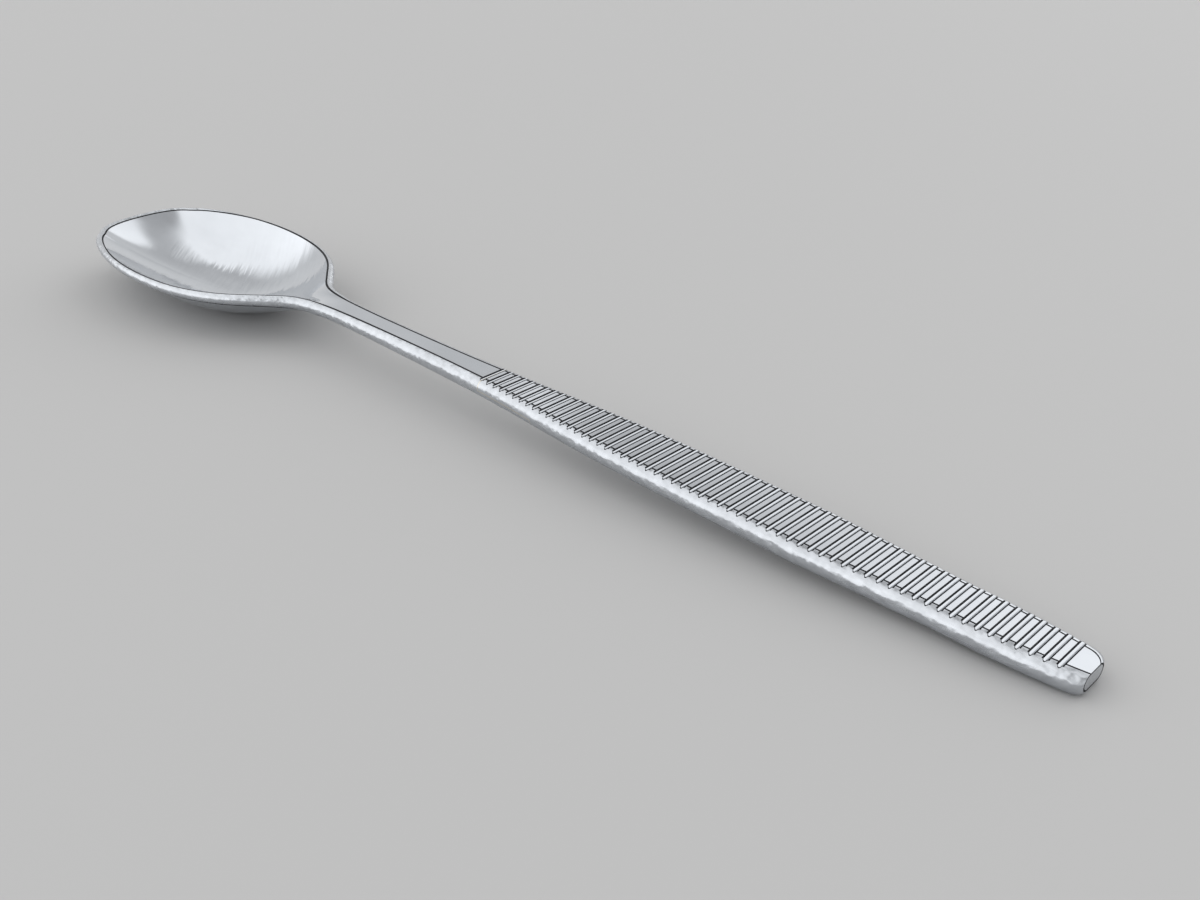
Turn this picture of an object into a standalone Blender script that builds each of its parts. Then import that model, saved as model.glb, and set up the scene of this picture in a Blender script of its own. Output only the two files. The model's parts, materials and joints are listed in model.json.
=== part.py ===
"""Teaspoon of polished steel: a dished bowl on a slim neck, and a leaf-shaped handle with cross grooves.

Both pieces are walls of steel with fully rounded edges, lofted along one plan outline. The bowl piece
carries the neck and a thin tongue, and the handle lies on that tongue in a brazed half lap.
In the plan, x is zero at the first groove, the bowl's tip is at -x and the handle's end at +x.
"""

import math

import bmesh
import bpy
import numpy
from mathutils import Matrix, Vector
from mathutils.geometry import interpolate_bezier

MM = 0.001

# Bowl
BOWL_LENGTH = 40.8 * MM
BOWL_HALF_WIDTH = 10.26 * MM
BOWL_DEPTH = 4.4 * MM
BOWL_DEEPEST = 25.0 * MM
BOWL_WALL = 1.07 * MM
BOWL_SET = 0.33 * MM
DISH_RUNOUT = 4.9 * MM
DISH_FADE = 1.7

# Neck
NECK_LENGTH = 32.5 * MM
NECK_HALF_WIDTH = 0.955 * MM
NECK_WAIST = 17.5 * MM
NECK_SLOPE = 0.0225
WALL_LEAD = 6.5 * MM

# Handle
HANDLE_HALF_WIDTH = 2.36 * MM
HANDLE_WIDEST = 30.0 * MM
HANDLE_WALL = 2.0 * MM
HANDLE_CAMBER = 0.15 * MM
TAPER_X = 50.5 * MM
TAPER_HALF_WIDTH = 1.8 * MM
END_HALF_WIDTH = 1.08 * MM
END_ROUND = 0.53 * MM
CORNER_EASE = 1.3 * MM
CORNER_RUN = 1.175 * MM

# Cross grooves
GROOVE_COUNT = 61
GROOVE_PITCH = 1.0 * MM
GROOVE_WIDTH = 0.38 * MM
GROOVE_DEPTH = 0.12 * MM
END_LAND = 1.875 * MM

# Half lap between the neck and the handle
LAP_LENGTH = 8.0 * MM
BRAZE_GAP = 0.1 * MM

# Facets: along each stretch of the outline, across the dish, round the edge and round a groove
TIP_STEPS = 6
BELLY_STEPS = 8
SHOULDER_STEPS = 9
HEEL_STEPS = 7
NECK_STEPS = 7
DISH_STEPS = 9
EDGE_STEPS = 8
GROOVE_STEPS = 6
LAND_STEP = 3
END_STEPS = 6
FINE_STEPS = 200
FLAT_SLOPE = 1e-4

STEEL = (0.60, 0.615, 0.64, 1.0)

# Places along the spoon that follow from the sizes above
HEEL_X = -NECK_LENGTH
WAIST_X = HEEL_X + NECK_WAIST
TIP_X = HEEL_X - BOWL_LENGTH
DEEPEST_X = TIP_X + BOWL_DEEPEST
LAST_GROOVE_X = (GROOVE_COUNT - 1) * GROOVE_PITCH
END_X = LAST_GROOVE_X + END_LAND


def ease(start, end, x):
    """Smooth step from 0 at start to 1 at end."""
    share = min(max((x - start) / (end - start), 0.0), 1.0)
    return share * share * (3.0 - 2.0 * share)


def anchor(x, half_width, back, ahead):
    """Bezier point of the plan outline, with its handles towards the tip and towards the handle's end."""
    return Vector((x, half_width, 0)), Vector((*back, 0)), Vector((*ahead, 0))


def outline_anchors():
    """Half the plan outline of the flat top face and the bowl's inner rim.

    The shares of the bowl's length and width keep its blunt egg shape at any size.
    """
    long = BOWL_LENGTH
    wide = BOWL_HALF_WIDTH
    swell = HANDLE_WIDEST - WAIST_X
    narrowing = TAPER_X - HANDLE_WIDEST
    last = END_X - TAPER_X
    corner_x = TIP_X + 0.082 * long
    belly_x = TIP_X + 0.468 * long
    shoulder_x = HEEL_X - 0.069 * long
    return (
        anchor(TIP_X, 0, (0, 0), (0, 0.535 * wide)),
        anchor(corner_x, 0.652 * wide, (-0.026 * long, -0.101 * wide), (0.0336 * long, 0.1316 * wide)),
        anchor(belly_x, wide, (-0.177 * long, 0), (0.3057 * long, 0)),
        anchor(shoulder_x, 0.439 * wide, (-0.049 * long, 0.1354 * wide), (0.1037 * long, -0.2865 * wide)),
        anchor(WAIST_X, NECK_HALF_WIDTH, (-NECK_WAIST, 0), (0.59 * swell, 0)),
        anchor(HANDLE_WIDEST, HANDLE_HALF_WIDTH, (-0.538 * swell, 0), (0.65 * narrowing, 0)),
        anchor(
            TAPER_X, TAPER_HALF_WIDTH,
            (-0.73 * narrowing, 0.03 * narrowing), (0.1 * last, -0.004 * last),
        ),
        anchor(END_X, END_HALF_WIDTH, (-0.484 * last, 0.078 * last), (0, 0)),
    )


def stretch(start, end, steps):
    """Points of the outline from one anchor to the next, without the last."""
    return interpolate_bezier(start[0], start[0] + start[2], end[0] + end[1], end[0], steps + 1)[:-1]


def half_width(x):
    """Half width of the flat top at x on the neck or the handle."""
    waist, widest, taper, end = outline_anchors()[4:]
    points = stretch(waist, widest, FINE_STEPS)
    points += stretch(widest, taper, FINE_STEPS)
    points += stretch(taper, end, FINE_STEPS)
    points.append(end[0])
    return float(numpy.interp(x, [point.x for point in points], [point.y for point in points]))


def far_half_width(x):
    """Half width on the far side, whose end corner is eased."""
    run = min(max(x - END_X + CORNER_RUN, 0.0), CORNER_EASE)
    return half_width(x) - CORNER_EASE + math.sqrt(CORNER_EASE ** 2 - run ** 2)


def top_height(x):
    """Height of the top face and the rim: the handle is cambered, the neck and the bowl droop."""
    if x > 0:
        middle = LAST_GROOVE_X / 2
        return HANDLE_CAMBER * (1.0 - ((x - middle) / middle) ** 2)
    return NECK_SLOPE * x - BOWL_SET * ease(HEEL_X, DEEPEST_X, x)


def dish_depth(spine_x):
    """Depth of the dish below its rim at a point of its centre line."""
    share = min(max((spine_x - DEEPEST_X) / (HEEL_X + DISH_RUNOUT - DEEPEST_X), 0.0), 1.0)
    return BOWL_DEPTH * (1.0 - share ** 2) ** DISH_FADE


def wall(x):
    """Thickness of the steel, which grows along the neck and is rounded off at the handle's end."""
    thick = BOWL_WALL + (HANDLE_WALL - BOWL_WALL) * ease(DEEPEST_X - WALL_LEAD, WALL_LEAD, x)
    run = min(max(x - END_X + 2 * END_ROUND, 0.0) / 2, END_ROUND)
    return thick - END_ROUND + math.sqrt(END_ROUND ** 2 - run ** 2)


def half_section(x, width, side, dish_steps):
    """Half a section, from the centre line on top, round the edge, to the centre line below.

    The dish and the underside are arcs with one centre, and the edge is half a circle between them.
    On the bowl's tip the sections fan out from the deepest point.
    """
    spine_x = max(x, DEEPEST_X)
    reach = Vector((x - spine_x, width * side))
    length = reach.length
    reach /= length
    thick = wall(x)
    rim = top_height(x)
    depth = rim - top_height(spine_x) + dish_depth(spine_x)
    slope = max(2.0 * math.atan2(depth, length), FLAT_SLOPE)

    def on_arc(angle, drop):
        """Point of the dish at an angle from its centre line, drop below the surface."""
        out = length * math.sin(angle) / math.sin(slope) + drop * math.sin(angle)
        down = length * (math.cos(angle) - math.cos(slope)) / math.sin(slope) + drop * math.cos(angle)
        return out, -down

    profile = [on_arc(slope * step / dish_steps, 0.0) for step in range(dish_steps)]
    middle_out, middle_up = on_arc(slope, thick / 2)
    for step in range(EDGE_STEPS + 1):
        around = slope + math.pi / 2 - math.pi * step / EDGE_STEPS
        profile.append((
            middle_out + thick / 2 * math.cos(around),
            middle_up + thick / 2 * math.sin(around),
        ))
    profile += [on_arc(slope * step / dish_steps, thick) for step in reversed(range(dish_steps))]
    return [Vector((spine_x + out * reach.x, out * reach.y, rim + up)) for out, up in profile]


def loft(name, near, far, dish_steps):
    """Closed solid through two rows of half sections, given as (x, half width) from left to right."""
    mesh = bpy.data.meshes.new(name)
    shape = bmesh.new()
    for side, stations in ((-1, near), (1, far)):
        rows = []
        for x, width in stations:
            points = half_section(x, width, side, dish_steps)
            rows.append([shape.verts.new(point) for point in points])
        for row, following in zip(rows, rows[1:]):
            for a, b, c, d in zip(row, following, following[1:], row[1:]):
                shape.faces.new((a, b, c, d))
    bmesh.ops.remove_doubles(shape, verts=shape.verts, dist=0.001 * MM)
    open_edges = [edge for edge in shape.edges if edge.is_boundary]
    bmesh.ops.holes_fill(shape, edges=open_edges)
    bmesh.ops.recalc_face_normals(shape, faces=shape.faces)
    shape.to_mesh(mesh)
    shape.free()
    return bpy.data.objects.new(name, mesh)


def steel(name):
    """Polished stainless steel."""
    material = bpy.data.materials.new(name)
    material.use_nodes = True
    shader = material.node_tree.nodes["Principled BSDF"]
    shader.inputs["Base Color"].default_value = STEEL
    shader.inputs["Metallic"].default_value = 1.0
    shader.inputs["Roughness"].default_value = 0.16
    return material


def land_stations(start, end):
    """Places on the lands between grooves, from start to end, so that no section runs along a groove."""
    places = [start]
    count = math.ceil(end / GROOVE_PITCH)
    for land in range(LAND_STEP, count, LAND_STEP):
        x = (land - 0.5) * GROOVE_PITCH
        if start + GROOVE_PITCH < x < end - GROOVE_PITCH:
            places.append(x)
    return places + [end]


def make_bowl():
    """Bowl, neck and tongue in one piece of steel."""
    tip, corner, belly, shoulder, waist = outline_anchors()[:5]
    outline = stretch(tip, corner, TIP_STEPS)
    outline += stretch(corner, belly, BELLY_STEPS)
    outline += stretch(belly, shoulder, SHOULDER_STEPS)
    outline += stretch(shoulder, waist, HEEL_STEPS)
    stations = [(point.x, point.y) for point in outline]
    for step in range(NECK_STEPS):
        x = waist[0].x * (1.0 - step / NECK_STEPS)
        stations.append((x, half_width(x)))
    stations += [(x, half_width(x)) for x in land_stations(0.0, LAP_LENGTH - BRAZE_GAP / 2)]
    bowl = loft("bowl", stations, stations, DISH_STEPS)
    bowl.data.materials.append(steel("bowl_steel"))
    return bowl


def make_handle():
    """Handle bar, from the first groove to the flat end, before its grooves are cut."""
    places = land_stations(BRAZE_GAP / 2, END_X - CORNER_RUN)
    for step in range(1, END_STEPS + 1):
        places.append(END_X - CORNER_RUN * (1.0 - step / END_STEPS))
    near = [(x, half_width(x)) for x in places]
    far = [(x, far_half_width(x)) for x in places]
    handle = loft("handle", near, far, 1)
    handle.data.materials.append(steel("handle_steel"))
    return handle


def block(name, low, high):
    """Box cutter between two corners."""
    shape = bmesh.new()
    size = high - low
    placing = Matrix.Translation((low + high) / 2) @ Matrix.Diagonal(size).to_4x4()
    bmesh.ops.create_cube(shape, size=1.0, matrix=placing)
    mesh = bpy.data.meshes.new(name)
    shape.to_mesh(mesh)
    shape.free()
    return bpy.data.objects.new(name, mesh)


def groove_bars(name):
    """One bar for each groove, standing in the top face across the handle, with a round lower side."""
    shape = bmesh.new()
    half = GROOVE_WIDTH / 2
    radius = (half ** 2 + GROOVE_DEPTH ** 2) / (2 * GROOVE_DEPTH)
    spread = math.atan2(half, radius - GROOVE_DEPTH)
    reach = 2 * (HANDLE_HALF_WIDTH + HANDLE_WALL)
    for groove in range(GROOVE_COUNT):
        x = groove * GROOVE_PITCH
        centre = top_height(x) - GROOVE_DEPTH + radius
        profile = [(x + half, centre + HANDLE_WALL), (x - half, centre + HANDLE_WALL)]
        for step in range(GROOVE_STEPS + 1):
            turn = spread * (2 * step / GROOVE_STEPS - 1)
            profile.append((x + radius * math.sin(turn), centre - radius * math.cos(turn)))
        outline = [shape.verts.new((px, -reach, pz)) for px, pz in profile]
        side = shape.faces.new(outline)
        moved = bmesh.ops.extrude_face_region(shape, geom=[side])["geom"]
        ends = [item for item in moved if isinstance(item, bmesh.types.BMVert)]
        bmesh.ops.translate(shape, verts=ends, vec=(0, 2 * reach, 0))
    bmesh.ops.recalc_face_normals(shape, faces=shape.faces)
    mesh = bpy.data.meshes.new(name)
    shape.to_mesh(mesh)
    shape.free()
    return bpy.data.objects.new(name, mesh)


def cut(piece, cutter):
    """Take the cutter's space out of a piece."""
    boolean = piece.modifiers.new(cutter.name, "BOOLEAN")
    boolean.operation = "DIFFERENCE"
    boolean.solver = "EXACT"
    boolean.object = cutter


def rest_pose(points):
    """Placing of the spoon on a table, where it touches under the bowl and under the handle's end.

    The origin then lies under the middle of its length.
    """
    tilt = 0.0
    for _ in range(8):
        turned = Matrix.Rotation(tilt, 3, "Y")
        under_bowl = min((p for p in points if p.x < 0), key=lambda p: (turned @ p).z)
        under_end = min((p for p in points if p.x > 0), key=lambda p: (turned @ p).z)
        tilt = math.atan2(under_end.z - under_bowl.z, under_end.x - under_bowl.x)
    turned = Matrix.Rotation(tilt, 3, "Y")
    placed = [turned @ p for p in points]
    left = min(p.x for p in placed)
    right = max(p.x for p in placed)
    floor = min(p.z for p in placed)
    return Matrix.Translation((-(left + right) / 2, 0, -floor)) @ turned.to_4x4()


def new_collection(name):
    collection = bpy.data.collections.new(name)
    bpy.context.scene.collection.children.link(collection)
    return collection


for old in list(bpy.data.objects):
    bpy.data.objects.remove(old, do_unlink=True)

bowl = make_bowl()
handle = make_handle()

# The lap's seat lies halfway down the steel, and both pieces keep half the braze gap to it
seat = top_height(0.0) - HANDLE_WALL / 2
room = 4 * HANDLE_HALF_WIDTH
above_tongue = block(
    "above_tongue",
    Vector((-BRAZE_GAP / 2, -room, seat - BRAZE_GAP / 2)),
    Vector((2 * LAP_LENGTH, room, room)),
)
below_handle = block(
    "below_handle",
    Vector((-LAP_LENGTH, -room, -room)),
    Vector((LAP_LENGTH + BRAZE_GAP / 2, room, seat + BRAZE_GAP / 2)),
)
grooves = groove_bars("grooves")
cut(bowl, above_tongue)
cut(bowl, grooves)
cut(handle, below_handle)
cut(handle, grooves)

spoon = new_collection("teaspoon")
cutters = new_collection("cutters")
resting = bpy.data.objects.new("resting_spoon", None)
spoon.objects.link(resting)
for piece in (bowl, handle):
    piece.data.shade_smooth()
    piece.data.set_sharp_from_angle(angle=math.radians(30))
    spoon.objects.link(piece)
    piece.parent = resting
for cutter in (above_tongue, below_handle, grooves):
    cutter.hide_render = True
    cutter.display_type = "WIRE"
    cutters.objects.link(cutter)
    cutter.parent = resting
resting.matrix_world = rest_pose([vert.co for piece in (bowl, handle) for vert in piece.data.vertices])
bpy.context.view_layer.update()
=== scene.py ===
"""Looks of a polished steel teaspoon that lies on a pale table."""

import json
import math

import bmesh
import bpy
from mathutils import Matrix, Vector
from mathutils.geometry import interpolate_bezier


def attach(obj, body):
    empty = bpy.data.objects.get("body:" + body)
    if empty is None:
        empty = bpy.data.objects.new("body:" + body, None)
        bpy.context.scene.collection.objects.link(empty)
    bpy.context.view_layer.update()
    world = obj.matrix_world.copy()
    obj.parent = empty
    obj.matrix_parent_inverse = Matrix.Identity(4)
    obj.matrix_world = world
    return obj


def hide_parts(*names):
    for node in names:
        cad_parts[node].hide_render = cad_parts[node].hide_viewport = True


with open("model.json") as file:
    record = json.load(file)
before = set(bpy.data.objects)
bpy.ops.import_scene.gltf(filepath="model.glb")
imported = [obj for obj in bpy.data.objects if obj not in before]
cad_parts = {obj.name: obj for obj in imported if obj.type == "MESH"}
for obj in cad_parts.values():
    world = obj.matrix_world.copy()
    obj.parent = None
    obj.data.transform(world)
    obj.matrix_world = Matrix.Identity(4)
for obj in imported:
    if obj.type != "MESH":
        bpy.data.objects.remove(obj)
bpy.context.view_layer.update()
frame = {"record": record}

# Bowl, neck and tongue: one strip of stainless steel, stamped to a shallow egg-shaped dish and polished.
# The strip is thin in the bowl and thickens along the neck, and its edges are rounded over all the way.
# A fine dark line is painted as shade where the polished dish and the rounded edge meet. The tongue goes
# under the handle.
MM = 0.001

BOWL_LENGTH = 40.8 * MM
BOWL_HALF_WIDTH = 10.26 * MM
BOWL_DEPTH = 4.4 * MM
BOWL_DEEPEST = 25.0 * MM
BOWL_WALL = 1.07 * MM
BOWL_SET = 0.33 * MM
FAN_BLEND = 9.0 * MM
DISH_RUNOUT = 7.1 * MM
DISH_FADE = 2.3
NECK_LENGTH = 32.5 * MM
NECK_HALF_WIDTH = 0.955 * MM
NECK_WAIST = 17.5 * MM
NECK_SLOPE = 0.0225
WALL_LEAD = 6.5 * MM

# The outline, the thickness and the grooves run on from the neck into the handle
HANDLE_HALF_WIDTH = 2.36 * MM
HANDLE_WIDEST = 30.0 * MM
HANDLE_WALL = 2.0 * MM
HANDLE_CAMBER = 0.15 * MM
TAPER_X = 50.5 * MM
TAPER_HALF_WIDTH = 1.8 * MM
END_HALF_WIDTH = 1.08 * MM
END_ROUND = 0.53 * MM
END_LAND = 1.875 * MM
GROOVE_COUNT = 61
GROOVE_PITCH = 1.0 * MM
GROOVE_WIDTH = 0.38 * MM
GROOVE_DEPTH = 0.12 * MM
LAP_LENGTH = 8.0 * MM
BRAZE_GAP = 0.1 * MM

# The rounded edge, the land round the tip, and the widths of the fine lines of painted shade
EDGE_LEAN = math.radians(12)
TIP_LAND = 0.5 * MM
TIP_LAND_RUN = 14.0 * MM
NECK_LINE = 0.26 * MM
GRIP_LINE = 0.21 * MM
END_LINE = 0.15 * MM
LINE_FOOT = 0.035 * MM

# Places along the spoon, from the middle of the first groove
HEEL_X = -NECK_LENGTH
WAIST_X = HEEL_X + NECK_WAIST
TIP_X = HEEL_X - BOWL_LENGTH
DEEPEST_X = TIP_X + BOWL_DEEPEST
LAST_GROOVE_X = (GROOVE_COUNT - 1) * GROOVE_PITCH
END_X = LAST_GROOVE_X + END_LAND
GROOVE_EDGE = GROOVE_WIDTH / 2

# Shares of a fine line's width on the two sides of the edge that it follows
THIN_SHARE = 0.3
BROAD_SHARE = 0.7
GROOVE_SHARE = 0.35
LAND_SHARE = 0.55

# Finishes of the faces; the line faces are painted dark, as shade along the edges
FLAT_FACES = 0
ROUND_FACES = 1
SHADE_LINE_FACES = 2

UP = Vector((0, 0, 1))
QUARTER_TURN = math.pi / 2
LEAST_SLOPE = 1e-4
SAME_PLACE = 1e-4 * MM
STALK_STEPS = 200


def ease(start, end, x):
    """Smooth step from 0 at start to 1 at end."""
    share = min(max((x - start) / (end - start), 0.0), 1.0)
    return share * share * (3.0 - 2.0 * share)


def steps_between(start, end, steps):
    """Evenly spaced values from start to end, both included."""
    return [start + (end - start) * step / steps for step in range(steps + 1)]


def anchor(x, half_width, back, ahead):
    """Bezier point of the plan outline, with its handles towards the tip and towards the handle's end."""
    return Vector((x, half_width, 0)), Vector((*back, 0)), Vector((*ahead, 0))


def outline_anchors():
    """Half the plan outline of the bowl's inner rim and the flat top face, from the tip to the end."""
    long = BOWL_LENGTH
    wide = BOWL_HALF_WIDTH
    swell = HANDLE_WIDEST - WAIST_X
    narrowing = TAPER_X - HANDLE_WIDEST
    last = END_X - TAPER_X
    tip = anchor(TIP_X, 0, (0, 0), (0, 0.535 * wide))
    corner = anchor(
        TIP_X + 0.082 * long, 0.652 * wide,
        (-0.026 * long, -0.101 * wide), (0.0336 * long, 0.1316 * wide),
    )
    belly = anchor(TIP_X + 0.468 * long, wide, (-0.177 * long, 0), (0.3057 * long, 0))
    shoulder = anchor(
        HEEL_X - 0.069 * long, 0.439 * wide,
        (-0.049 * long, 0.1354 * wide), (0.1037 * long, -0.2865 * wide),
    )
    waist = anchor(WAIST_X, NECK_HALF_WIDTH, (-NECK_WAIST, 0), (0.59 * swell, 0))
    widest = anchor(HANDLE_WIDEST, HANDLE_HALF_WIDTH, (-0.538 * swell, 0), (0.65 * narrowing, 0))
    taper = anchor(
        TAPER_X, TAPER_HALF_WIDTH,
        (-0.73 * narrowing, 0.03 * narrowing), (0.1 * last, -0.004 * last),
    )
    end = anchor(END_X, END_HALF_WIDTH, (-0.484 * last, 0.078 * last), (0, 0))
    return tip, corner, belly, shoulder, waist, widest, taper, end


def stretch(start, end, steps):
    """Points of the outline from one anchor to the next, without the last."""
    return interpolate_bezier(start[0], start[0] + start[2], end[0] + end[1], end[0], steps + 1)[:-1]


def stalk_points():
    """Fine points of the outline from the neck's waist to the handle's end."""
    anchors = outline_anchors()[4:]
    points = []
    for start, end in zip(anchors, anchors[1:]):
        points += stretch(start, end, STALK_STEPS)
    return points + [anchors[-1][0]]


STALK = stalk_points()


def half_width(x):
    """Half width of the flat top at x on the neck or the handle."""
    ahead = next((place for place, point in enumerate(STALK) if point.x >= x), len(STALK) - 1)
    left = STALK[max(ahead - 1, 0)]
    right = STALK[max(ahead, 1)]
    share = min(max((x - left.x) / (right.x - left.x), 0.0), 1.0)
    return left.y + (right.y - left.y) * share


def top_height(x):
    """Height of the top face and the rim: the handle is cambered, the neck and the bowl droop."""
    if x > 0:
        middle = LAST_GROOVE_X / 2
        return HANDLE_CAMBER * (1.0 - ((x - middle) / middle) ** 2)
    return NECK_SLOPE * x - BOWL_SET * ease(HEEL_X, DEEPEST_X, x)


def dish_depth(spine_x):
    """Depth of the dish below its rim at a point of its centre line."""
    share = min(max((spine_x - DEEPEST_X) / (HEEL_X + DISH_RUNOUT - DEEPEST_X), 0.0), 1.0)
    return BOWL_DEPTH * (1.0 - share ** 2) ** DISH_FADE


def wall(x):
    """Thickness of the steel, which grows along the neck and is rounded off at the handle's end."""
    thick = BOWL_WALL + (HANDLE_WALL - BOWL_WALL) * ease(DEEPEST_X - WALL_LEAD, WALL_LEAD, x)
    run = min(max(x - END_X + 2 * END_ROUND, 0.0) / 2, END_ROUND)
    return thick - END_ROUND + math.sqrt(END_ROUND ** 2 - run ** 2)


def spine(x):
    """Place on the centre line where the section at x starts. At the tip all fan out from one point."""
    run = x - DEEPEST_X
    if run > FAN_BLEND:
        return x
    return DEEPEST_X + max(run + FAN_BLEND, 0.0) ** 2 / (4.0 * FAN_BLEND)


def line_width(x):
    """Width of the fine lines of painted shade, which narrow along the spoon."""
    if x < 0:
        return NECK_LINE + (GRIP_LINE - NECK_LINE) * ease(HEEL_X, 0.0, x)
    return GRIP_LINE + (END_LINE - GRIP_LINE) * x / END_X


def on_dish(middle, rim_point, depth, share):
    """Point of a dish's arc, at a share of the way from its middle to its rim."""
    reach = rim_point - middle
    slope = max(2.0 * math.atan2(depth, reach.length), LEAST_SLOPE)
    swing = reach.length / math.sin(slope)
    angle = slope * share
    out = middle + reach.normalized() * swing * math.sin(angle)
    return out + UP * swing * (math.cos(slope) - math.cos(angle))


def half_section(x, width, drop, side, outward, counts):
    """Points of half a section at x, from the centre line on top, round the edge, to the centre line below.

    The dish and the underside are arcs, and the edge between them is half a circle that stands out along the
    outline. A groove takes the top down by drop. counts gives the steps across the top, to a groove's depth,
    round the rest of the edge and across the underside. A fine line of painted shade lies on each side of
    the edge, and at the tip the upper one keeps off it by a narrow land.
    """
    across, shallow, around, under = counts
    thick = wall(x)
    radius = thick / 2
    thin = THIN_SHARE * line_width(x)
    broad = BROAD_SHARE * line_width(x)
    land = TIP_LAND * ease(TIP_X + TIP_LAND_RUN, TIP_X, x)
    middle = Vector((spine(x), 0.0, top_height(x)))
    inner = Vector((x, width * side, top_height(x)))
    length = (inner - middle).length
    depth = top_height(x) - top_height(middle.x) + dish_depth(middle.x)
    lean = min(2.0 * math.atan2(depth, length), EDGE_LEAN)
    centre = inner + radius * (math.sin(lean) * outward - math.cos(lean) * UP)
    groove_end = math.asin(1.0 - max(drop, LINE_FOOT) / radius)

    def on_edge(angle):
        """Point of the rounded edge: the rim at a quarter turn up, the underside at a quarter down."""
        return centre + radius * (math.cos(lean + angle) * outward + math.sin(lean + angle) * UP)

    def past_rim(run):
        """Point of the surface at a run past the rim, which is negative on the dish."""
        if run < 0:
            return on_dish(middle, inner, depth, 1.0 + run / length)
        return on_edge(QUARTER_TURN - run / radius)

    if drop > 0:
        floor_end = on_edge(groove_end)
        outs = steps_between(0.0, length - thin, across) + [length]
        outs += steps_between(length + broad, side * floor_end.y, shallow)
        points = [Vector((x, side * out, floor_end.z)) for out in outs]
    else:
        edge_start = (QUARTER_TURN - groove_end) * radius
        points = [past_rim(run) for run in steps_between(-length, -thin - land, across) + [-land]]
        points += [past_rim(run) for run in steps_between(broad - land, edge_start, shallow)]
    below_line = groove_end - 2 * thin / radius
    points += [on_edge(angle) for angle in steps_between(below_line, thin / radius - QUARTER_TURN, around)]
    outer = on_edge(-QUARTER_TURN)
    points.append(outer)
    low_middle = Vector((middle.x, 0.0, outer.z))
    low_depth = depth + thick * (1.0 - math.cos(lean))
    for share in steps_between(1.0 - broad / length, 0.0, under):
        points.append(on_dish(low_middle, outer, low_depth, share))
    return points


def beside_groove(x):
    """Whether x lies in the fine line of painted shade along an edge of a groove."""
    groove = min(max(round(x / GROOVE_PITCH), 0), GROOVE_COUNT - 1)
    past_edge = abs(x - groove * GROOVE_PITCH) - GROOVE_EDGE
    return -GROOVE_SHARE * line_width(x) < past_edge < LAND_SHARE * line_width(x)


def finishes(stations, counts):
    """Finish of each face of a skin: flat, round, or one of the fine lines of painted shade between them."""
    across, shallow, around = counts[:3]
    upper_line = (across, across + 1)
    groove_end = across + 2 + shallow
    lower_line = (groove_end + around + 1, groove_end + around + 2)

    def finish_at(row, column):
        """Finish of the face after a row of the skin and a column of its points."""
        deepest = max(stations[row][2], stations[row + 1][2])
        if beside_groove((stations[row][0] + stations[row + 1][0]) / 2):
            lined = column <= groove_end
        elif deepest > 0:
            lined = column == groove_end
        else:
            lined = column in upper_line
        if lined or column in lower_line:
            return SHADE_LINE_FACES
        first_round = groove_end if deepest > 0 else upper_line[1]
        return ROUND_FACES if first_round < column < lower_line[0] else FLAT_FACES

    return finish_at


def edge_direction(stations, place, side):
    """Level direction in which the edge stands out: square to the bowl's outline, sideways beyond it."""
    if stations[place][0] > WAIST_X:
        return Vector((0, side, 0))
    after_x, after_width = stations[place + 1][:2]
    before_x, before_width = stations[place - 1][:2] if place else (after_x, -after_width)
    return Vector((before_width - after_width, side * (after_x - before_x), 0)).normalized()


def into_the_scene(name, shape):
    """Object made from a finished bmesh, which is used up."""
    mesh = bpy.data.meshes.new(name)
    shape.to_mesh(mesh)
    shape.free()
    made = bpy.data.objects.new(name, mesh)
    bpy.context.scene.collection.objects.link(made)
    return made


def skin(name, near, far, counts):
    """Closed mesh through half sections on both sides, given as (x, half width, groove depth)."""
    shape = bmesh.new()
    for side, stations in ((-1, near), (1, far)):
        finish_at = finishes(stations, counts)
        grid = []
        for place, station in enumerate(stations):
            points = half_section(*station, side, edge_direction(stations, place, side), counts)
            grid.append([shape.verts.new(point) for point in points])
        for row, (section, following) in enumerate(zip(grid, grid[1:])):
            for column, corners in enumerate(zip(section, following, following[1:], section[1:])):
                face = shape.faces.new(corners)
                face.material_index = finish_at(row, column)
    bmesh.ops.remove_doubles(shape, verts=shape.verts, dist=SAME_PLACE)
    bmesh.ops.holes_fill(shape, edges=[edge for edge in shape.edges if edge.is_boundary])
    bmesh.ops.recalc_face_normals(shape, faces=shape.faces)
    return into_the_scene(name, shape)


def groove_drop(run):
    """Depth of a round groove at a distance from its middle."""
    return GROOVE_DEPTH * (1.0 - (run / GROOVE_EDGE) ** 2)


def carve(piece, name, low, high):
    """Cut the box between two corners out of a piece."""
    shape = bmesh.new()
    placing = Matrix.Translation((low + high) / 2) @ Matrix.Diagonal(high - low).to_4x4()
    bmesh.ops.create_cube(shape, size=1.0, matrix=placing)
    cutter = into_the_scene(name, shape)
    boolean = piece.modifiers.new(name, "BOOLEAN")
    boolean.operation = "DIFFERENCE"
    boolean.solver = "EXACT"
    boolean.object = cutter
    bpy.context.view_layer.update()
    seen = piece.evaluated_get(bpy.context.evaluated_depsgraph_get())
    carved = bpy.data.meshes.new_from_object(seen)
    piece.modifiers.clear()
    whole = piece.data
    piece.data = carved
    bpy.data.meshes.remove(whole)
    bpy.data.meshes.remove(cutter.data)


# Steps of a section across the top, to a groove's depth, round the edge and across the underside
BOWL_COUNTS = (26, 5, 15, 22)
SEAT = top_height(0.0) - HANDLE_WALL / 2
ROOM = 4 * HANDLE_HALF_WIDTH


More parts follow.
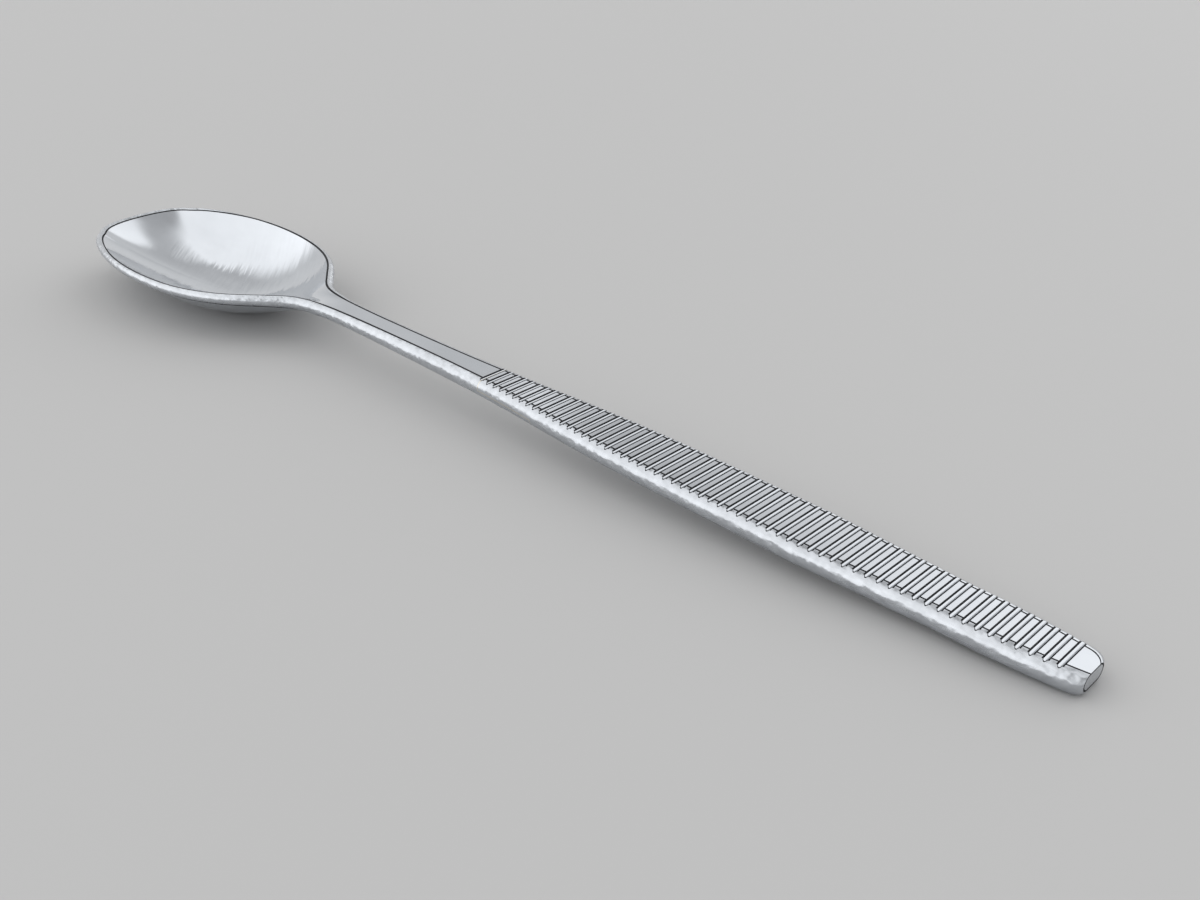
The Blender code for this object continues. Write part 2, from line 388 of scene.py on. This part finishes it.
def bowl_stations():
    """Places along the bowl piece, as (x, half width, groove depth)."""
    tip, corner, belly, shoulder, waist = outline_anchors()[:5]
    outline = stretch(tip, corner, steps=18) + stretch(corner, belly, steps=30)
    outline += stretch(belly, shoulder, steps=34) + stretch(shoulder, waist, steps=26)
    stations = [(point.x, point.y, 0.0) for point in outline]
    line = line_width(0.0)
    for x in steps_between(WAIST_X, -GROOVE_EDGE - LAND_SHARE * line, steps=20) + [-GROOVE_EDGE]:
        stations.append((x, half_width(x), 0.0))
    for x in steps_between(-GROOVE_EDGE + GROOVE_SHARE * line, 0.0, steps=3):
        stations.append((x, half_width(x), groove_drop(x)))
    for x in steps_between(0.0, LAP_LENGTH - BRAZE_GAP / 2, steps=12)[1:]:
        stations.append((x, half_width(x), GROOVE_DEPTH))
    return stations


def make_bowl():
    """The whole strip, cut down to a tongue where the handle lies on it."""
    stations = bowl_stations()
    piece = skin("bowl_and_neck", stations, stations, BOWL_COUNTS)
    carve(
        piece, "above_tongue",
        low=Vector((-BRAZE_GAP / 2, -ROOM, SEAT - BRAZE_GAP / 2)),
        high=Vector((2 * LAP_LENGTH, ROOM, ROOM)),
    )
    return piece


STEEL_COLOUR = (0.59, 0.615, 0.65, 1.0)
# Dark colour of the fine lines painted along the edges, as painted shade in their creases
SHADE_LINE_COLOUR = (0.012, 0.013, 0.016, 1.0)
PER_MM = 1.0 / MM
WIPES_PER_MM = (0.12, 0.3, 0.3)

# The range that most of a noise lies in, and the ranges that it is spread to
NOISE_RANGE = (0.3, 0.7)
WIPED_TINT = (0.95, 1.03)
WIPED_GLOSS = (0.85, 1.2)
STREAKED_GLOSS = (0.85, 1.15)


def make_polish():
    """What a polishing wheel and a wiping cloth leave: cloudy gloss, fine streaks and soft waves."""
    group = bpy.data.node_groups.new("steel_polish", "ShaderNodeTree")
    for name, kind in (
        ("Colour", "NodeSocketColor"),
        ("Roughness", "NodeSocketFloat"),
        ("Streaks", "NodeSocketVector"),
        ("Streak Turn", "NodeSocketFloat"),
        ("Streak Middle", "NodeSocketVector"),
        ("Streak Reach", "NodeSocketFloat"),
        ("Waves", "NodeSocketVector"),
        ("Wave Share", "NodeSocketFloat"),
        ("Wave Tone", "NodeSocketFloat"),
    ):
        group.interface.new_socket(name, in_out="INPUT", socket_type=kind)
    for name, kind in (
        ("Colour", "NodeSocketColor"),
        ("Roughness", "NodeSocketFloat"),
        ("Height", "NodeSocketFloat"),
    ):
        group.interface.new_socket(name, in_out="OUTPUT", socket_type=kind)
    nodes = group.nodes
    links = group.links
    given = nodes.new("NodeGroupInput").outputs
    result = nodes.new("NodeGroupOutput").inputs
    place = nodes.new("ShaderNodeTexCoord").outputs["Object"]

    def marks(where, detail):
        """Noise, and the socket for its count of marks per metre along each axis."""
        stretched = nodes.new("ShaderNodeVectorMath")
        stretched.operation = "MULTIPLY"
        links.new(where, stretched.inputs[0])
        noise = nodes.new("ShaderNodeTexNoise")
        noise.inputs["Scale"].default_value = 1.0
        noise.inputs["Detail"].default_value = detail
        links.new(stretched.outputs["Vector"], noise.inputs["Vector"])
        return noise.outputs["Fac"], stretched.inputs[1]

    def between(noise, low, high):
        """Noise spread to a range."""
        spread = nodes.new("ShaderNodeMapRange")
        spread.inputs["From Min"].default_value = NOISE_RANGE[0]
        spread.inputs["From Max"].default_value = NOISE_RANGE[1]
        spread.inputs["To Min"].default_value = low
        spread.inputs["To Max"].default_value = high
        links.new(noise, spread.inputs["Value"])
        return spread.outputs["Result"]

    def times(first, second):
        """Product of two values."""
        product = nodes.new("ShaderNodeMath")
        product.operation = "MULTIPLY"
        links.new(first, product.inputs[0])
        links.new(second, product.inputs[1])
        return product.outputs["Value"]

    # Wiping marks all over, and waves
    wiped, wipe_count = marks(place, detail=3.0)
    wipe_count.default_value = [count * PER_MM for count in WIPES_PER_MM]
    waves, wave_count = marks(place, detail=1.0)
    links.new(given["Waves"], wave_count)

    # Streaks at an angle, which fade out away from their middle
    turned = nodes.new("ShaderNodeVectorRotate")
    turned.rotation_type = "Z_AXIS"
    links.new(place, turned.inputs["Vector"])
    links.new(given["Streak Turn"], turned.inputs["Angle"])
    lines, streak_count = marks(turned.outputs["Vector"], detail=2.0)
    links.new(given["Streaks"], streak_count)
    from_middle = nodes.new("ShaderNodeVectorMath")
    from_middle.operation = "DISTANCE"
    links.new(place, from_middle.inputs[0])
    links.new(given["Streak Middle"], from_middle.inputs[1])
    streaked = nodes.new("ShaderNodeMapRange")
    streaked.interpolation_type = "SMOOTHSTEP"
    links.new(from_middle.outputs["Value"], streaked.inputs["Value"])
    links.new(given["Streak Reach"], streaked.inputs["From Min"])
    streaked.inputs["From Max"].default_value = 0.0
    streaks = times(lines, streaked.outputs["Result"])

    # Colour, darker on the waves by their tone
    kept = nodes.new("ShaderNodeMath")
    kept.operation = "SUBTRACT"
    kept.inputs[0].default_value = 1.0
    links.new(times(given["Wave Tone"], between(waves, 0.0, 1.0)), kept.inputs[1])
    tint = nodes.new("ShaderNodeVectorMath")
    tint.operation = "SCALE"
    links.new(given["Colour"], tint.inputs["Vector"])
    links.new(times(between(wiped, *WIPED_TINT), kept.outputs["Value"]), tint.inputs["Scale"])
    links.new(tint.outputs["Vector"], result["Colour"])

    # Gloss and relief
    gloss = times(between(wiped, *WIPED_GLOSS), between(streaks, *STREAKED_GLOSS))
    links.new(times(given["Roughness"], gloss), result["Roughness"])
    height = nodes.new("ShaderNodeMix")
    links.new(given["Wave Share"], height.inputs["Factor"])
    links.new(streaks, height.inputs["A"])
    links.new(waves, height.inputs["B"])
    links.new(height.outputs["Result"], result["Height"])
    return group


POLISH = make_polish()

# Reach of streaks that don't fade anywhere on the spoon
ALL_OVER = 10.0


def polished_steel(
    name, roughness, streaks, waves, wave_share, relief,
    streak_turn=0.0, streak_middle=(0, 0, 0), streak_reach=ALL_OVER, wave_tone=0.0, colour=STEEL_COLOUR,
):
    """Polished metal. streaks and waves are counts of marks per millimetre along the spoon, across and up.

    wave_share is the waves' part in the relief, and wave_tone is how much they darken the colour. Streaks
    are turned by streak_turn degrees and fade out at streak_reach from streak_middle.
    """
    material = bpy.data.materials.new(name)
    material.use_nodes = True
    tree = material.node_tree
    shader = tree.nodes["Principled BSDF"]
    shader.inputs["Metallic"].default_value = 1.0
    polish = tree.nodes.new("ShaderNodeGroup")
    polish.node_tree = POLISH
    polish.inputs["Colour"].default_value = colour
    polish.inputs["Roughness"].default_value = roughness
    polish.inputs["Streaks"].default_value = [count * PER_MM for count in streaks]
    polish.inputs["Streak Turn"].default_value = math.radians(streak_turn)
    polish.inputs["Streak Middle"].default_value = streak_middle
    polish.inputs["Streak Reach"].default_value = streak_reach
    polish.inputs["Waves"].default_value = [count * PER_MM for count in waves]
    polish.inputs["Wave Share"].default_value = wave_share
    polish.inputs["Wave Tone"].default_value = wave_tone
    relieved = tree.nodes.new("ShaderNodeBump")
    relieved.inputs["Distance"].default_value = relief
    tree.links.new(polish.outputs["Height"], relieved.inputs["Height"])
    tree.links.new(polish.outputs["Colour"], shader.inputs["Base Color"])
    tree.links.new(polish.outputs["Roughness"], shader.inputs["Roughness"])
    tree.links.new(relieved.outputs["Normal"], shader.inputs["Normal"])
    return material


def rounded_steel(name):
    """Edge that was tumbled round: glossy, with soft waves less than a millimetre long."""
    return polished_steel(
        name,
        roughness=0.26,
        streaks=(0.3, 3.0, 3.0),
        waves=(1.2, 1.6, 1.6),
        wave_share=0.9,
        relief=0.11 * MM,
        wave_tone=0.13,
    )


def painted_shade_line(name):
    """Fine line of painted shade along an edge: a dark colour that stands in for the shade in its crease,
    darker in places.
    """
    material = polished_steel(
        name,
        roughness=0.6,
        streaks=(0.5, 5.0, 5.0),
        waves=(1.5, 1.5, 1.5),
        wave_share=0.5,
        relief=0.01 * MM,
        wave_tone=0.3,
        colour=SHADE_LINE_COLOUR,
    )
    shader = material.node_tree.nodes["Principled BSDF"]
    shader.inputs["Metallic"].default_value = 0.0
    shader.inputs["Specular IOR Level"].default_value = 0.15
    return material


def lying_on_the_table():
    """Placing of the spoon's own plan where the CAD spoon lies, taken from the flat top of its neck."""
    neck_top = next(mount for mount in frame["record"]["mounts"] if mount["name"] == "neck_top")
    tilt = math.atan2(neck_top["axis"][0], neck_top["axis"][2]) + math.atan(NECK_SLOPE)
    to_table = Matrix.Translation(neck_top["pos_m"]) @ Matrix.Rotation(tilt, 4, "Y")
    return to_table @ Matrix.Translation((-WAIST_X, 0, -top_height(WAIST_X)))


LYING = lying_on_the_table()
SHARP_CORNER = math.radians(30)


def finish_piece(piece, slot, *materials):
    """Shade a piece smooth but for its real corners, give it its finish and lay it down."""
    piece.data.shade_smooth()
    piece.data.set_sharp_from_angle(angle=SHARP_CORNER)
    for material in materials:
        piece.data.materials.append(material)
    piece.data.transform(LYING)
    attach(piece, "root")


bowl = make_bowl()
brushed_dish = polished_steel(
    "bowl_steel_polished",
    roughness=0.11,
    streaks=(1.0, 0.14, 0.14),
    waves=(0.2, 0.2, 0.2),
    wave_share=0.1,
    relief=0.11 * MM,
    streak_turn=-42,
    streak_middle=LYING @ Vector((DEEPEST_X, 0, 0)),
    streak_reach=20 * MM,
)
finish_piece(
    bowl,
    "bowl_steel",
    brushed_dish,
    rounded_steel("bowl_steel_rounded"),
    painted_shade_line("bowl_fine_line"),
)
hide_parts("bowl")


# Handle: a leaf-shaped bar of the same steel, slightly cambered, with round sides and a flat end.
# Fine grooves are milled straight across it, one after the other, and run out on the round sides.
# One corner of the end is eased. The handle lies on the neck's tongue and is brazed to it.
CORNER_EASE = 1.3 * MM
CORNER_RUN = 1.175 * MM
HANDLE_COUNTS = (2, 3, 12, 2)
SLIGHTLY = 1e-3 * MM


def far_half_width(x):
    """Half width on the far side, whose end corner is eased."""
    run = min(max(x - END_X + CORNER_RUN, 0.0), CORNER_EASE)
    return half_width(x) - CORNER_EASE + math.sqrt(CORNER_EASE ** 2 - run ** 2)


def handle_places():
    """Places along the handle, as (x, groove depth)."""
    places = []
    for groove in range(GROOVE_COUNT):
        middle = groove * GROOVE_PITCH
        floor = GROOVE_EDGE - GROOVE_SHARE * line_width(middle)
        land = GROOVE_EDGE + LAND_SHARE * line_width(middle)
        for run in (-GROOVE_PITCH / 2, -land, -GROOVE_EDGE):
            places.append((middle + run, 0.0))
        for run in steps_between(-floor, floor, steps=6):
            places.append((middle + run, groove_drop(run)))
        for run in (GROOVE_EDGE, land):
            places.append((middle + run, 0.0))
    for x in steps_between(END_X - CORNER_RUN, END_X, steps=14):
        places.append((x, 0.0))
    start = BRAZE_GAP / 2
    return [(start, groove_drop(start))] + [place for place in places if place[0] > start + SLIGHTLY]


def line_the_end(piece):
    """Fine line of painted shade round the flat end face."""
    shape = bmesh.new()
    shape.from_mesh(piece.data)
    end_faces = [face for face in shape.faces if face.calc_center_median().x > END_X - SLIGHTLY]
    ring = bmesh.ops.inset_region(shape, faces=end_faces, thickness=END_LINE, use_even_offset=True)
    for face in ring["faces"]:
        face.material_index = SHADE_LINE_FACES
    shape.to_mesh(piece.data)
    shape.free()


def make_handle():
    """The whole bar, cut away below where it lies on the tongue."""
    places = handle_places()
    near = [(x, half_width(x), drop) for x, drop in places]
    far = [(x, far_half_width(x), drop) for x, drop in places]
    piece = skin("handle_bar", near, far, HANDLE_COUNTS)
    line_the_end(piece)
    carve(
        piece, "below_handle",
        low=Vector((-LAP_LENGTH, -ROOM, -ROOM)),
        high=Vector((LAP_LENGTH + BRAZE_GAP / 2, ROOM, SEAT + BRAZE_GAP / 2)),
    )
    return piece


handle = make_handle()
polished_grip = polished_steel(
    "handle_steel_polished",
    roughness=0.17,
    streaks=(0.4, 5.0, 5.0),
    waves=(0.5, 0.5, 0.5),
    wave_share=0.2,
    relief=0.004 * MM,
)
finish_piece(
    handle,
    "handle_steel",
    polished_grip,
    rounded_steel("handle_steel_rounded"),
    painted_shade_line("handle_fine_line"),
)
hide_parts("handle")


# Braze: the thin film of silver solder that fills the half lap between the tongue and the handle.
# It is drawn in while the pieces are hot, and then polished flush with the steel around it.
BRAZE_COLOUR = (0.66, 0.63, 0.56, 1.0)


def make_braze():
    """A length of the spoon's own section, cut down to the film between tongue and handle."""
    half_gap = BRAZE_GAP / 2
    stations = []
    for x in steps_between(-half_gap, half_gap, steps=4):
        stations.append((x, half_width(x), groove_drop(x)))
    for x in steps_between(half_gap, LAP_LENGTH + half_gap, steps=12)[1:]:
        stations.append((x, half_width(x), GROOVE_DEPTH))
    piece = skin("braze_film", stations, stations, HANDLE_COUNTS)
    carve(
        piece, "over_tongue",
        low=Vector((half_gap, -ROOM, SEAT + half_gap)),
        high=Vector((2 * LAP_LENGTH, ROOM, ROOM)),
    )
    carve(
        piece, "under_handle",
        low=Vector((-LAP_LENGTH, -ROOM, -ROOM)),
        high=Vector((LAP_LENGTH - half_gap, ROOM, SEAT - half_gap)),
    )
    for face in piece.data.polygons:
        face.material_index = FLAT_FACES
    return piece


braze = make_braze()
silver_braze = polished_steel(
    "silver_braze",
    roughness=0.24,
    streaks=(0.4, 5.0, 5.0),
    waves=(1.5, 1.5, 1.5),
    wave_share=0.5,
    relief=0.01 * MM,
    colour=BRAZE_COLOUR,
)
finish_piece(braze, "handle_steel", silver_braze)


# Table: a wide, plain, pale top with a dull finish, on which the spoon lies.
# It isn't part of the spoon.
TABLE_COLOUR = (0.50, 0.50, 0.50, 1.0)
TABLE_ROUGHNESS = 0.7
TABLE_HALF_SIZE = 20.0


def make_table():
    """Square table top at the height of the spoon's lowest point."""
    shape = bmesh.new()
    bmesh.ops.create_grid(shape, x_segments=1, y_segments=1, size=TABLE_HALF_SIZE)
    table = into_the_scene("table_top", shape)
    material = bpy.data.materials.new("pale_table")
    material.use_nodes = True
    shader = material.node_tree.nodes["Principled BSDF"]
    shader.inputs["Base Color"].default_value = TABLE_COLOUR
    shader.inputs["Roughness"].default_value = TABLE_ROUGHNESS
    table.data.materials.append(material)
    return table


table = make_table()


# Light: a grey studio that darkens overhead, with soft white panels hung round the spoon.
# A panel's corners are bearings and heights in degrees, clockwise as seen from the spoon.
# Its softness is the half width of its blurred edge, in radians.
LOW_SKY = {"height": 14, "level": 0.80}
HIGH_SKY = {"height": 56, "level": 0.52}
LIGHT_LEVEL = 0.78
TIP_PANEL = {
    "corners": ((137, 24), (145.2, 40.4), (143, 50), (137, 50)),
    "softness": 0.014,
}
BOWL_PANEL = {
    "corners": ((150, 36.8), (200, 33.5), (215, 66), (163, 58.5), (148.6, 46.8)),
    "softness": 0.035,
}
SIDE_PANEL = {
    "corners": ((201, 1), (275, 1), (280, 70), (164, 39)),
    "softness": 0.12,
}
END_PANEL = {
    "corners": ((25, 0), (121, 0), (121, 58), (25, 58)),
    "softness": 0.19,
}
TOP_PANEL = {
    "corners": ((0, 70), (120, 70), (240, 70)),
    "softness": 0.1,
}


def sky_direction(bearing, height):
    """Unit vector towards a place of the sky, from its angles in degrees."""
    turn = math.radians(bearing)
    rise = math.radians(height)
    return Vector((math.cos(rise) * math.cos(turn), math.cos(rise) * math.sin(turn), math.sin(rise)))


def make_sky():
    """World with the grey of the studio and the light of its panels."""
    sky = bpy.data.worlds.new("studio")
    sky.use_nodes = True
    tree = sky.node_tree
    background = tree.nodes["Background"]
    place = tree.nodes.new("ShaderNodeTexCoord").outputs["Generated"]

    def along(axis):
        """How far a direction of the sky lies along an axis."""
        facing = tree.nodes.new("ShaderNodeVectorMath")
        facing.operation = "DOT_PRODUCT"
        facing.inputs[1].default_value = axis
        tree.links.new(place, facing.inputs[0])
        return facing.outputs["Value"]

    def soft_step(value, start, end, first=0.0, last=1.0):
        """Smooth step from one level to another."""
        step = tree.nodes.new("ShaderNodeMapRange")
        step.interpolation_type = "SMOOTHSTEP"
        step.inputs["From Min"].default_value = start
        step.inputs["From Max"].default_value = end
        step.inputs["To Min"].default_value = first
        step.inputs["To Max"].default_value = last
        tree.links.new(value, step.inputs["Value"])
        return step.outputs["Result"]

    def combine(operation, first, *others):
        """Values put together one after the other."""
        for other in others:
            node = tree.nodes.new("ShaderNodeMath")
            node.operation = operation
            tree.links.new(first, node.inputs[0])
            tree.links.new(other, node.inputs[1])
            first = node.outputs["Value"]
        return first

    def soft_panel(corners, softness):
        """1 inside all the edges of a panel and 0 outside."""
        points = [sky_direction(*corner) for corner in corners]
        edges = []
        for corner, following in zip(points, points[1:] + points[:1]):
            inwards = corner.cross(following).normalized()
            edges.append(soft_step(along(inwards), -softness, softness))
        return combine("MULTIPLY", *edges)

    grey = soft_step(
        along(UP),
        math.sin(math.radians(LOW_SKY["height"])),
        math.sin(math.radians(HIGH_SKY["height"])),
        LOW_SKY["level"],
        HIGH_SKY["level"],
    )
    panels = [soft_panel(**panel) for panel in (TIP_PANEL, BOWL_PANEL, SIDE_PANEL, END_PANEL, TOP_PANEL)]
    lit = tree.nodes.new("ShaderNodeMath")
    lit.operation = "MULTIPLY_ADD"
    lit.inputs[1].default_value = LIGHT_LEVEL
    tree.links.new(combine("MAXIMUM", *panels), lit.inputs[0])
    tree.links.new(grey, lit.inputs[2])
    tree.links.new(lit.outputs["Value"], background.inputs["Strength"])
    background.inputs["Color"].default_value = (1.0, 1.0, 1.0, 1.0)
    return sky


bpy.context.scene.world = make_sky()

# Camera: above the handle's end and to one side of it, looking down along the spoon to its bowl.
# Its place and its aim are measured as the spoon's own sizes are.
CAMERA_PLACE = Vector((84.07, -68.92, 54.42)) * MM
CAMERA_AIM = Vector((17.80, -3.12, 0.0)) * MM
CAMERA_ROLL = math.radians(-0.33)
CAMERA_LENS = 37.2
CAMERA_SENSOR = 36.0
CAMERA_NEAR = 1.0 * MM

lens = bpy.data.cameras.new("camera")
lens.lens = CAMERA_LENS
lens.sensor_width = CAMERA_SENSOR
lens.clip_start = CAMERA_NEAR
camera = bpy.data.objects.new("camera", lens)
bpy.context.scene.collection.objects.link(camera)
looking = (CAMERA_AIM - CAMERA_PLACE).to_track_quat("-Z", "Y").to_matrix().to_4x4()
rolled = Matrix.Rotation(CAMERA_ROLL, 4, "Z")
camera.matrix_world = LYING @ Matrix.Translation(CAMERA_PLACE) @ looking @ rolled
bpy.context.scene.camera = camera
bpy.context.scene.view_settings.view_transform = "Standard"
